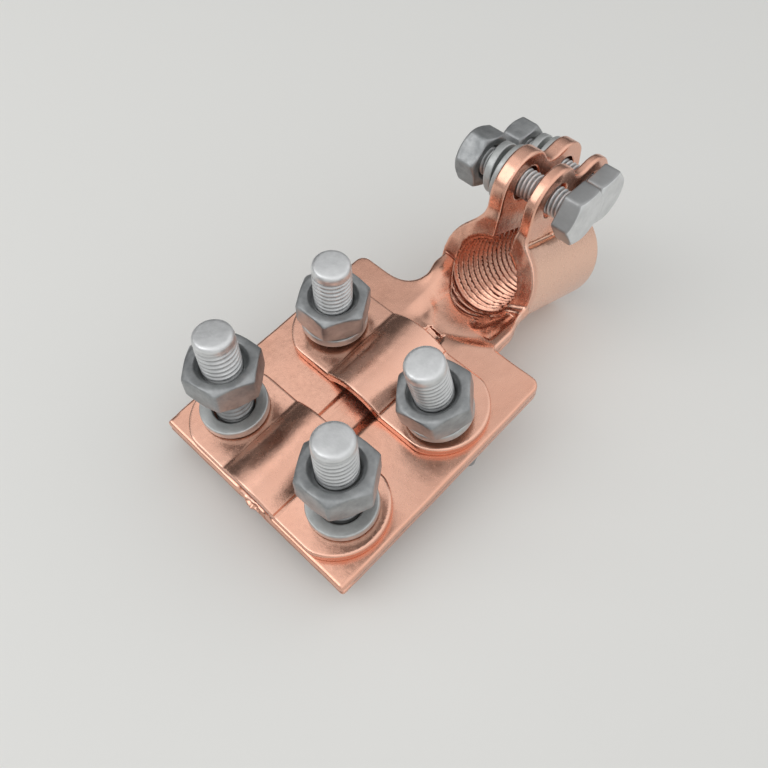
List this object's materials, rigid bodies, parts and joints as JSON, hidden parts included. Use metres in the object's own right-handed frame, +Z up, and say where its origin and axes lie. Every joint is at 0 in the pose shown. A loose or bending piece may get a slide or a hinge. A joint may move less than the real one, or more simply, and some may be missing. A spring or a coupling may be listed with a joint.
{
  "type": "transformer terminal clamp",
  "caption": "Copper clamp that screws onto a transformer stud with a split threaded barrel and bolted ears, with a flat palm that holds a conductor under arched straps.",
  "frame": {"origin": "on the axis of the stud bore, where its wall ends at the far mouth", "axes": "+Y runs from the palm nose to the barrel and is the longest extent, +X across the bolts, +Z up, with the clamp standing as it rests on a level table"},
  "size_m": [0.0646, 0.1292, 0.0579],
  "materials": {
    "copper_body": "bare copper, satin with bright worn edges",
    "copper_strap": "bare copper, satin with bright worn edges",
    "zinc_bolt": "dull grey hot-dip zinc on steel",
    "zinc_nut": "dull grey hot-dip zinc on steel",
    "zinc_washer": "bright zinc on spring steel"
  },
  "bodies": {
    "clamp": {"clamp_body": "copper_body", "ear_flat_washer_near": "zinc_washer", "ear_flat_washer_far": "zinc_washer", "ear_spring_washer_near": "zinc_washer", "ear_spring_washer_far": "zinc_washer"},
    "front_strap": {"front_strap": "copper_strap", "palm_washer_fl": "zinc_washer", "palm_washer_fr": "zinc_washer"},
    "rear_strap": {"rear_strap": "copper_strap"},
    "palm_bolt_fl": {"palm_bolt_fl": "zinc_bolt"},
    "palm_nut_fl": {"palm_nut_fl": "zinc_nut"},
    "palm_bolt_fr": {"palm_bolt_fr": "zinc_bolt"},
    "palm_nut_fr": {"palm_nut_fr": "zinc_nut"},
    "palm_bolt_rl": {"palm_bolt_rl": "zinc_bolt"},
    "palm_nut_rl": {"palm_nut_rl": "zinc_nut", "palm_washer_rl": "zinc_washer"},
    "palm_bolt_rr": {"palm_bolt_rr": "zinc_bolt"},
    "palm_nut_rr": {"palm_nut_rr": "zinc_nut", "palm_washer_rr": "zinc_washer"},
    "ear_bolt_near": {"ear_bolt_near": "zinc_bolt"},
    "ear_nut_near": {"ear_nut_near": "zinc_nut"},
    "ear_bolt_far": {"ear_bolt_far": "zinc_bolt"},
    "ear_nut_far": {"ear_nut_far": "zinc_nut"}
  },
  "joints": [
    {"name": "front_strap_lift", "type": "slide", "parent": "clamp", "child": "front_strap", "axis": [-0.0347, -0.0691, 0.997], "range_m": [0, 0.0065]},
    {"name": "palm_nut_fl_travel", "type": "slide", "parent": "clamp", "child": "palm_nut_fl", "axis": [-0.0347, -0.0691, 0.997], "range_m": [-0.0065, 0.006]},
    {"name": "palm_bolt_fl_turn", "type": "hinge", "parent": "clamp", "child": "palm_bolt_fl", "pos_m": [-0.0186, -0.10808, -0.00145], "axis": [0.0347, 0.0691, -0.997], "range_deg": [-1848, 1728]},
    {"name": "palm_nut_fr_travel", "type": "slide", "parent": "clamp", "child": "palm_nut_fr", "axis": [-0.0347, -0.0691, 0.997], "range_m": [-0.0065, 0.006]},
    {"name": "palm_bolt_fr_turn", "type": "hinge", "parent": "clamp", "child": "palm_bolt_fr", "pos_m": [0.02, -0.10808, -0.00145], "axis": [0.0347, 0.0691, -0.997], "range_deg": [-1848, 1728]},
    {"name": "palm_nut_rl_travel", "type": "slide", "parent": "clamp", "child": "palm_nut_rl", "axis": [0.0609, -0.1037, 0.9927], "range_m": [0, 0.004]},
    {"name": "palm_bolt_rl_turn", "type": "hinge", "parent": "clamp", "child": "palm_bolt_rl", "pos_m": [-0.0187, -0.07371, 0.00459], "axis": [-0.0609, 0.1037, -0.9927], "range_deg": [0, 1248]},
    {"name": "palm_nut_rr_travel", "type": "slide", "parent": "clamp", "child": "palm_nut_rr", "axis": [-0.0867, -0.2745, 0.9577], "range_m": [0, 0.0052]},
    {"name": "palm_bolt_rr_turn", "type": "hinge", "parent": "clamp", "child": "palm_bolt_rr", "pos_m": [0.0209, -0.07479, 0.0044], "axis": [0.0867, 0.2745, -0.9577], "range_deg": [0, 1248]},
    {"name": "rear_strap_lift", "type": "slide", "parent": "clamp", "child": "rear_strap", "axis": [-0.013, -0.1903, 0.9816], "range_m": [0, 0.0052]},
    {"name": "ear_bolt_near_draw", "type": "slide", "parent": "clamp", "child": "ear_bolt_near", "axis": [-1, 0, 0], "range_m": [0, 0.004]},
    {"name": "ear_nut_near_turn", "type": "hinge", "parent": "clamp", "child": "ear_nut_near", "pos_m": [0, -0.02017, 0.03414], "axis": [1, 0, 0], "range_deg": [0, 1497.6]},
    {"name": "ear_bolt_far_draw", "type": "slide", "parent": "clamp", "child": "ear_bolt_far", "axis": [-1, 0, 0], "range_m": [-0.002, 0.0009]},
    {"name": "ear_nut_far_turn", "type": "hinge", "parent": "clamp", "child": "ear_nut_far", "pos_m": [0, -0.00164, 0.02775], "axis": [1, 0, 0], "range_deg": [-921.6, 604.8]}
  ],
  "couplings": [
    {"joint": "palm_bolt_fl_turn", "follows": "palm_nut_fl_travel", "rad_per_m": 4188.8},
    {"joint": "palm_bolt_fr_turn", "follows": "palm_nut_fr_travel", "rad_per_m": 4188.8},
    {"joint": "palm_bolt_rl_turn", "follows": "palm_nut_rl_travel", "rad_per_m": 4188.8},
    {"joint": "palm_bolt_rr_turn", "follows": "palm_nut_rl_travel", "rad_per_m": 4188.8},
    {"joint": "palm_nut_rr_travel", "follows": "palm_nut_rl_travel", "ratio": 1},
    {"joint": "rear_strap_lift", "follows": "palm_nut_rl_travel", "ratio": 0.97},
    {"joint": "ear_nut_near_turn", "follows": "ear_bolt_near_draw", "rad_per_m": 5026.5},
    {"joint": "ear_nut_far_turn", "follows": "ear_bolt_far_draw", "rad_per_m": 5026.5}
  ]
}
